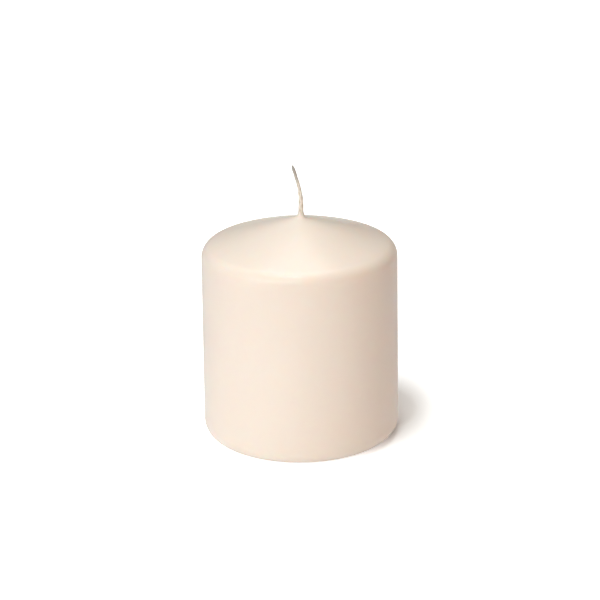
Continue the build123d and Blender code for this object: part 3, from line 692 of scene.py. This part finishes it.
    # loose fibre ends: thin cones that fan out from the tip
    points = addNode(tree, "GeometryNodePoints")
    spread = addNode(tree, "FunctionNodeRandomValue", data_type="FLOAT_VECTOR")
    strewRadius, strewLow, strewHigh = 0.00022, -0.0006, -0.0002  # where the ends start, about the tip
    spread.inputs["Min"].default_value = (-strewRadius, -strewRadius, strewLow)
    spread.inputs["Max"].default_value = (strewRadius, strewRadius, strewHigh)
    spread.inputs["Seed"].default_value = 3
    fibre = addNode(tree, "GeometryNodeMeshCone")
    setSockets(fibre, {"Vertices": 6, "Radius Top": 0.000012})  # nearly pointed
    fan = addNode(tree, "FunctionNodeRandomValue", data_type="FLOAT_VECTOR")
    fan.inputs["Seed"].default_value = 5
    lean = addNode(tree, "ShaderNodeCombineXYZ")
    strew = addNode(tree, "GeometryNodeInstanceOnPoints")
    sizes = addNode(tree, "FunctionNodeRandomValue", data_type="FLOAT")
    sizes.inputs[2].default_value = 0.45  # shortest
    sizes.inputs[3].default_value = 1.0  # longest
    sizes.inputs["Seed"].default_value = 9
    join = addNode(tree, "GeometryNodeJoinGeometry")
    link(given["Fibres"], points.inputs["Count"])
    link(vectorNode(tree, "ADD", given["Tip Place"], spread.outputs[0]), points.inputs["Position"])
    link(given["Fibre Length"], fibre.inputs["Depth"])
    link(given["Fibre Radius"], fibre.inputs["Radius Bottom"])
    link(mathNode(tree, "MULTIPLY", given["Fibre Spread"], -1.0), fan.inputs["Min"])
    link(given["Fibre Spread"], fan.inputs["Max"])
    link(given["Tip Lean"], lean.inputs["Y"])
    link(points.outputs["Points"], strew.inputs["Points"])
    link(fibre.outputs["Mesh"], strew.inputs["Instance"])
    link(vectorNode(tree, "ADD", lean.outputs[0], fan.outputs[0]), strew.inputs["Rotation"])
    link(sizes.outputs[1], strew.inputs["Scale"])
    link(ridgeStore.outputs["Geometry"], join.inputs["Geometry"])
    link(strew.outputs["Instances"], join.inputs["Geometry"])
    finishTree(tree, source, result, join.outputs["Geometry"], given["Sharp Angle"])
    return tree


wickLook = {
    # shade: painted shade, a darker colour for the valleys between the plait ridges
    "cream": (0.86, 0.79, 0.69), "grey": (0.34, 0.32, 0.29), "shade": (0.62, 0.55, 0.44),
    "greyFrom": 0.0905, "greyTo": 0.0995,
    "constants": {"Roughness": 0.62, "Subsurface Weight": 0.25, "Subsurface Radius": (1.0, 0.7, 0.5),
                  "Subsurface Scale": 0.0008, "Sheen Weight": 0.15, "Specular IOR Level": 0.35},
    "bumpDistance": 0.00005,
}


def makeWickMaterial(s):
    material, tree, shader, place = startMaterial("waxedCotton", s["constants"])
    link = tree.links.new
    threads = placeGroup(tree, brushGroup, place, {"Stretch": (1.0, 1.0, 0.18), "Scale": 4200.0})
    ridge = addNode(tree, "ShaderNodeAttribute", attribute_name="ridge")
    # painted shade: the lower the plait relief, the more of the shade colour
    paintedValleyShade = mapValue(tree, ridge.outputs["Fac"], 0.55, 0.0, -0.2, 0.6)
    parts = addNode(tree, "ShaderNodeSeparateXYZ")
    link(place, parts.inputs[0])
    height = mapValue(tree, parts.outputs["Z"], 0.0, 1.0, s["greyFrom"], s["greyTo"])
    patches = mapValue(tree, threads.outputs["Mask"], 0.75, 1.25, 0.35, 0.65)
    patchy = mathNode(tree, "MULTIPLY", height, patches)
    colour = mixColours(tree, paintedValleyShade, s["cream"], s["shade"])
    colour = mixColours(tree, patchy, colour, s["grey"])
    link(colour, shader.inputs["Base Color"])
    addBump(tree, shader, threads.outputs["Height"], 0.6, s["bumpDistance"])
    return material


def makeWick(s):
    path = wickPath(s)
    host = lineObject("wickPath", path)
    return bakeTree(host, makeWickTree(), {
        "Stations": s["stations"], "Around": s["around"], "Root Radius": s["rootRadius"] * mm,
        "Tip Radius": s["tipRadius"] * mm, "Taper Start": s["taperStart"] * mm,
        "Taper End": s["taperEnd"] * mm, "Tip Draw": s["tipDraw"] * mm, "Tip Share": s["tipShare"],
        "Plait Depth": s["plaitDepth"] * mm, "Plait Pitch": s["plaitPitch"] * mm,
        "Plait Strands": s["plaitStrands"], "Fuzz": s["fuzz"] * mm, "Fuzz Scale": s["fuzzScale"],
        "Seed": 7.0, "Fibres": s["fibres"], "Fibre Length": s["fibreLength"] * mm,
        "Fibre Radius": s["fibreRadius"] * mm, "Fibre Spread": s["fibreSpread"],
        "Tip Place": path[-1], "Tip Lean": -math.radians(s["bendAngle"]), "Sharp Angle": 3.0,
        "Material": makeWickMaterial(wickLook)}, "plaitedWick")


waxBody = makeWaxBody(waxShape, wickShape["x"])
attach(waxBody, "candle")
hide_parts("wax_shell")

wickPiece = makeWick(wickShape)
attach(wickPiece, "candle")
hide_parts("wick")


# finishes of the parts inside the wax
def makePlainFinish(name, s):
    # two close tones mixed by soft clouds, with the detail's relief
    material, tree, shader, place = startMaterial(name, s.get("constants", {}))
    mottle = placeGroup(tree, mottleGroup, place, {
        "Cloud Scale": s.get("clouds", 90.0), "Ripple Scale": 900.0, "Ripple Share": 0.35})
    tree.links.new(mixColours(tree, mottle.outputs["Mask"], *s["colours"]), shader.inputs["Base Color"])
    tree.links.new(mapValue(tree, mottle.outputs["Mask"], *s["roughness"]), shader.inputs["Roughness"])
    height = mottle.outputs["Height"]
    if s.get("detail") == "grain":
        height = placeGroup(tree, grainGroup, place, {"Scale": s["detailScale"]}).outputs["Height"]
    elif s.get("detail") == "lines":
        height = placeGroup(tree, brushGroup, place, {
            "Stretch": s["stretch"], "Scale": s["detailScale"]}).outputs["Height"]
    addBump(tree, shader, height, s.get("relief", 0.2), s.get("depth", 0.00002))
    return material


plainFinishes = {
    "base_plastic": {"colours": ((0.80, 0.72, 0.61), (0.77, 0.69, 0.58)), "roughness": (0.46, 0.56),
                     "detail": "grain", "detailScale": 2600.0, "relief": 0.5, "depth": 0.00004,
                     "constants": {"Subsurface Weight": 0.1, "Subsurface Scale": 0.001}},
    "inner_plastic": {"colours": ((0.82, 0.80, 0.75), (0.79, 0.77, 0.72)), "roughness": (0.36, 0.46),
                      "constants": {"Subsurface Weight": 0.1, "Subsurface Scale": 0.001}},
    "frosted_plastic": {"colours": ((0.90, 0.87, 0.80), (0.86, 0.83, 0.76)), "roughness": (0.55, 0.65),
                        "detail": "grain", "detailScale": 5000.0, "relief": 0.3,
                        "constants": {"Subsurface Weight": 0.6, "Subsurface Scale": 0.004,
                                      "Transmission Weight": 0.15}},
    "led_epoxy": {"colours": ((0.95, 0.84, 0.45), (0.93, 0.80, 0.40)), "roughness": (0.05, 0.09),
                  "constants": {"Transmission Weight": 0.75, "IOR": 1.53, "Coat Weight": 0.3}},
    "tinned_steel": {"colours": ((0.74, 0.74, 0.73), (0.66, 0.66, 0.65)), "roughness": (0.22, 0.36),
                     "detail": "lines", "stretch": (1.0, 1.0, 0.05), "detailScale": 6000.0,
                     "constants": {"Metallic": 1.0}},
    "sleeve_rubber": {"colours": ((0.018, 0.018, 0.019), (0.026, 0.026, 0.027)),
                      "roughness": (0.42, 0.55)},
    "chip_plastic": {"colours": ((0.020, 0.020, 0.022), (0.028, 0.028, 0.030)), "roughness": (0.5, 0.62),
                     "detail": "grain", "detailScale": 7000.0, "relief": 0.4},
    "can_metal": {"colours": ((0.78, 0.78, 0.78), (0.70, 0.70, 0.70)), "roughness": (0.2, 0.32),
                  "detail": "lines", "stretch": (0.04, 1.0, 1.0), "detailScale": 5000.0,
                  "constants": {"Metallic": 1.0}},
    "switch_can": {"colours": ((0.62, 0.62, 0.60), (0.54, 0.54, 0.53)), "roughness": (0.3, 0.42),
                   "detail": "lines", "stretch": (1.0, 0.05, 1.0), "detailScale": 4000.0,
                   "constants": {"Metallic": 1.0}},
    "knob_plastic": {"colours": ((0.030, 0.030, 0.031), (0.042, 0.042, 0.043)),
                     "roughness": (0.42, 0.52), "detail": "grain", "detailScale": 4200.0,
                     "relief": 0.5, "depth": 0.00003},
    "nickel_steel": {"colours": ((0.73, 0.69, 0.61), (0.64, 0.60, 0.52)), "roughness": (0.2, 0.34),
                     "detail": "lines", "stretch": (1.0, 0.05, 1.0), "detailScale": 4500.0,
                     "constants": {"Metallic": 1.0}},
    "red_insulation": {"colours": ((0.55, 0.020, 0.015), (0.48, 0.016, 0.012)),
                       "roughness": (0.34, 0.44)},
    "black_insulation": {"colours": ((0.016, 0.016, 0.017), (0.024, 0.024, 0.025)),
                         "roughness": (0.34, 0.44)},
    "screw_steel": {"colours": ((0.67, 0.68, 0.70), (0.56, 0.57, 0.59)), "roughness": (0.24, 0.4),
                    "clouds": 400.0, "constants": {"Metallic": 1.0}},
    "hot_melt_glue": {"colours": ((0.84, 0.80, 0.68), (0.78, 0.73, 0.60)), "roughness": (0.2, 0.35),
                      "clouds": 300.0,
                      "constants": {"Subsurface Weight": 0.4, "Subsurface Scale": 0.001,
                                    "Subsurface Radius": (1.0, 0.9, 0.75), "Transmission Weight": 0.1}},
}

board = {
    "mask": (0.012, 0.105, 0.035), "maskDark": (0.009, 0.080, 0.027), "edge": (0.40, 0.33, 0.16),
    "trace": (0.025, 0.17, 0.06), "traceScale": 466.67,
}


def makeBoardFinish(s):
    # green mask over faint straight copper runs, bare laminate at the cut edge
    constants = {"Coat Weight": 0.3, "Coat Roughness": 0.2}
    material, tree, shader, place = startMaterial("boardLaminate", constants)
    link = tree.links.new
    mottle = placeGroup(tree, mottleGroup, place, {
        "Cloud Scale": 200.0, "Ripple Scale": 1500.0, "Ripple Share": 0.3})
    runs = addNode(tree, "ShaderNodeTexBrick", offset=0.5)
    setSockets(runs, {"Scale": s["traceScale"], "Mortar Size": 0.05, "Color1": (0, 0, 0, 1),
                      "Color2": (0, 0, 0, 1), "Mortar": (1, 1, 1, 1),
                      "Brick Width": 1.7, "Row Height": 0.6})
    link(place, runs.inputs["Vector"])
    colour = mixColours(tree, mottle.outputs["Mask"], s["mask"], s["maskDark"])
    colour = mixColours(tree, runs.outputs["Fac"], colour, s["trace"])
    normal = addNode(tree, "ShaderNodeNewGeometry")
    upright = mathNode(tree, "ABSOLUTE", axisValue(tree, normal.outputs["Normal"], "Z"))
    colour = mixColours(tree, mapValue(tree, upright, 1.0, 0.0, 0.4, 0.5), colour, s["edge"])
    link(colour, shader.inputs["Base Color"])
    link(mapValue(tree, mottle.outputs["Mask"], 0.28, 0.36), shader.inputs["Roughness"])
    addBump(tree, shader, runs.outputs["Fac"], 0.3, 0.00003)
    return material


resistor = {"body": (0.015, 0.015, 0.017), "tin": (0.70, 0.70, 0.69), "pitch": 0.0036, "ends": 0.00062}


def makeResistorFinish(s):
    # dark body with a tinned cap at each end, the same on each chip of the row
    material, tree, shader, place = startMaterial("resistorCeramic", {"Roughness": 0.35})
    across = mathNode(tree, "PINGPONG", axisValue(tree, place, "X"), s["pitch"] / 2)
    cap = mathNode(tree, "GREATER_THAN", across, s["ends"])
    tree.links.new(mixColours(tree, cap, s["body"], s["tin"]), shader.inputs["Base Color"])
    tree.links.new(cap, shader.inputs["Metallic"])
    grain = placeGroup(tree, grainGroup, place, {"Scale": 6000.0})
    addBump(tree, shader, grain.outputs["Height"], 0.2, 0.00002)
    return material


capacitor = {"sleeve": (0.012, 0.016, 0.060), "stripe": (0.55, 0.57, 0.60), "metal": (0.78, 0.78, 0.78),
             "axis": (0.0062, 0.018, 0.0), "stripeFrom": 0.0014, "top": 0.0145}


def makeCapacitorFinish(s):
    # shrunk sleeve with one pale stripe, bare can at the top
    material, tree, shader, place = startMaterial("capacitorSleeve", {"Coat Weight": 0.2})
    link = tree.links.new
    local = vectorNode(tree, "SUBTRACT", place, s["axis"])
    stripe = mathNode(tree, "GREATER_THAN", axisValue(tree, local, "X"), s["stripeFrom"])
    lid = mathNode(tree, "GREATER_THAN", axisValue(tree, place, "Z"), s["top"])
    colour = mixColours(tree, stripe, s["sleeve"], s["stripe"])
    link(mixColours(tree, lid, colour, s["metal"]), shader.inputs["Base Color"])
    link(lid, shader.inputs["Metallic"])
    mottle = placeGroup(tree, mottleGroup, place, {
        "Cloud Scale": 300.0, "Ripple Scale": 2000.0, "Ripple Share": 0.3})
    link(mapValue(tree, mottle.outputs["Mask"], 0.25, 0.36), shader.inputs["Roughness"])
    addBump(tree, shader, mottle.outputs["Height"], 0.15, 0.00002)
    return material


cell = {"jacket": (0.030, 0.032, 0.036), "band": (0.62, 0.27, 0.10), "rule": (0.75, 0.74, 0.70),
        "steel": (0.72, 0.71, 0.68), "bandLength": 0.0125, "ruleLength": 0.0006, "bodyLength": 0.0433}


def makeCellFinish(s, name, negativeEnd, direction):
    # film jacket, coppery band towards the positive end, bare steel end faces and nub
    material, tree, shader, place = startMaterial(name, {"Coat Weight": 0.4, "Coat Roughness": 0.15})
    link = tree.links.new
    run = mathNode(tree, "SUBTRACT", axisValue(tree, place, "X"), negativeEnd)
    run = mathNode(tree, "MULTIPLY", run, direction)
    bandStart = s["bodyLength"] - s["bandLength"]
    band = mathNode(tree, "GREATER_THAN", run, bandStart)
    rule = mathNode(tree, "COMPARE", run, bandStart)
    rule.node.inputs[2].default_value = s["ruleLength"]
    normal = addNode(tree, "ShaderNodeNewGeometry")
    facing = mathNode(tree, "ABSOLUTE", axisValue(tree, normal.outputs["Normal"], "X"))
    flat = mathNode(tree, "GREATER_THAN", facing, 0.6)
    steel = mathNode(tree, "MAXIMUM", flat, mathNode(tree, "GREATER_THAN", run, s["bodyLength"]))
    colour = mixColours(tree, band, s["jacket"], s["band"])
    colour = mixColours(tree, rule, colour, s["rule"])
    link(mixColours(tree, steel, colour, s["steel"]), shader.inputs["Base Color"])
    bandMetal = mathNode(tree, "MULTIPLY", band, 0.6)
    link(mathNode(tree, "MAXIMUM", steel, bandMetal), shader.inputs["Metallic"])
    mottle = placeGroup(tree, mottleGroup, place, {
        "Cloud Scale": 120.0, "Ripple Scale": 1200.0, "Ripple Share": 0.3})
    link(mapValue(tree, mottle.outputs["Mask"], 0.26, 0.36), shader.inputs["Roughness"])
    addBump(tree, shader, mottle.outputs["Height"], 0.15, 0.00003)
    return material


def finishNodes(skip):
    made = {slot: makePlainFinish(slot, s) for slot, s in plainFinishes.items()}
    made["board_laminate"] = makeBoardFinish(board)
    made["resistor_ceramic"] = makeResistorFinish(resistor)
    made["capacitor_sleeve"] = makeCapacitorFinish(capacitor)
    for name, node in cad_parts.items():
        if name in skip:
            continue
        slotName = node.data.materials[0].name.split(".")[0]
        if slotName == "battery_jacket":
            low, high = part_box(name)
            forward = name == "battery_1"
            negativeEnd, direction = (low[0], 1.0) if forward else (high[0], -1.0)
            made[name] = makeCellFinish(cell, name + "Jacket", negativeEnd, direction)
            node.data.materials[0] = made[name]
        else:
            node.data.materials[0] = made[slotName]
    print("finished", len(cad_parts) - len(skip), "CAD nodes")


finishNodes(("wax_shell", "wick"))


# floor: seen from above only, so that the underside can be looked at
floorLook = {
    "reach": 6.0, "drop": 0.00004, "colour": (0.93, 0.925, 0.92),
    # a little light of its own towards the object, from the lit floor at the front left
    "bouncePlace": (-0.05, -0.08, 0.0), "bounce": (0.22, 0.02), "bounceFrom": 0.03, "bounceTo": 0.16,
    "underLight": 0.22, "underReach": 0.0275,  # lights the base unit, inside the wax ring
    # painted glow, seen by the camera only, clears it to white away from the soft shadow at the right, so
    # this sets how far that shadow reaches
    "shadowPlace": (0.030, 0.020, 0.0), "shadowShape": (1.0, 0.6, 1.0),
    "clear": (0.0, 0.7), "clearFrom": 0.011, "clearTo": 0.030,
}


def makeFloor(s):
    reach, drop = s["reach"], -s["drop"]
    mesh = bpy.data.meshes.new("floor")
    corners = [(-reach, -reach, drop), (reach, -reach, drop), (reach, reach, drop), (-reach, reach, drop)]
    mesh.from_pydata(corners, [], [(0, 1, 2, 3)])
    floor = bpy.data.objects.new("floor", mesh)
    scene.collection.objects.link(floor)
    material, tree, shader, place = startMaterial("paleFloor", {
        "Base Color": (*s["colour"], 1), "Roughness": 0.9, "Specular IOR Level": 0.1,
        "Emission Color": (1, 1, 1, 1)})
    link = tree.links.new
    distance = addNode(tree, "ShaderNodeVectorMath", operation="LENGTH")
    away = vectorNode(tree, "SUBTRACT", place, s["shadowPlace"])
    link(vectorNode(tree, "MULTIPLY", away, s["shadowShape"]), distance.inputs[0])
    # painted glow for camera rays: none inside the shadow, up to white away from it
    clearing = mapValue(tree, distance.outputs["Value"], *s["clear"], s["clearFrom"], s["clearTo"])
    seen = addNode(tree, "ShaderNodeLightPath")
    glow = addNode(tree, "ShaderNodeMix", data_type="FLOAT")
    fromAxis = addNode(tree, "ShaderNodeVectorMath", operation="LENGTH")
    link(place, fromAxis.inputs[0])
    under = mathNode(tree, "LESS_THAN", fromAxis.outputs["Value"], s["underReach"])
    under = mathNode(tree, "MULTIPLY", under, s["underLight"])
    fromBounce = addNode(tree, "ShaderNodeVectorMath", operation="DISTANCE")
    link(place, fromBounce.inputs[0])
    fromBounce.inputs[1].default_value = s["bouncePlace"]
    bounce = mapValue(tree, fromBounce.outputs["Value"], *s["bounce"], s["bounceFrom"], s["bounceTo"])
    link(mathNode(tree, "ADD", under, bounce), glow.inputs["A"])
    link(seen.outputs["Is Camera Ray"], glow.inputs["Factor"])
    link(clearing, glow.inputs["B"])
    link(glow.outputs["Result"], shader.inputs["Emission Strength"])
    clear = addNode(tree, "ShaderNodeBsdfTransparent")
    side = addNode(tree, "ShaderNodeNewGeometry")
    pick = addNode(tree, "ShaderNodeMixShader")
    link(side.outputs["Backfacing"], pick.inputs[0])
    link(shader.outputs[0], pick.inputs[1])
    link(clear.outputs[0], pick.inputs[2])
    link(pick.outputs[0], tree.nodes["Material Output"].inputs["Surface"])
    mesh.materials.append(material)


makeFloor(floorLook)
